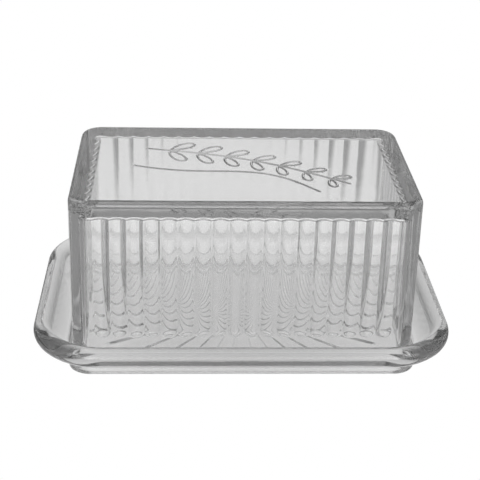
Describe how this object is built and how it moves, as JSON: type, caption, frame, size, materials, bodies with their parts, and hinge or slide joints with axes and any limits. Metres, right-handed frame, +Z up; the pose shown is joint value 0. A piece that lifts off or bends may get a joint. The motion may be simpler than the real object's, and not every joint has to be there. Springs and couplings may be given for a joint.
{
  "type": "butter dish",
  "caption": "pressed clear glass butter dish: a footed rectangular tray with a rolled rim and a separate box-shaped cover, ribbed inside, that lifts straight off",
  "frame": {"origin": "under the middle of the tray, on the surface that the foot ring stands on", "axes": "+X along the dish's long side, +Y towards the back long side, +Z up, the way the cover lifts"},
  "size_m": [0.18, 0.1228, 0.0798],
  "materials": {
    "tray_glass": "clear pressed soda-lime glass, fire polished",
    "cover_glass": "clear pressed soda-lime glass, fire polished"
  },
  "bodies": {
    "tray": {"tray": "tray_glass"},
    "cover": {"cover": "cover_glass"}
  },
  "joints": [
    {"name": "cover_lift", "type": "slide", "parent": "tray", "child": "cover", "axis": [0, 0, 1], "range_m": [0, 0.09]}
  ]
}
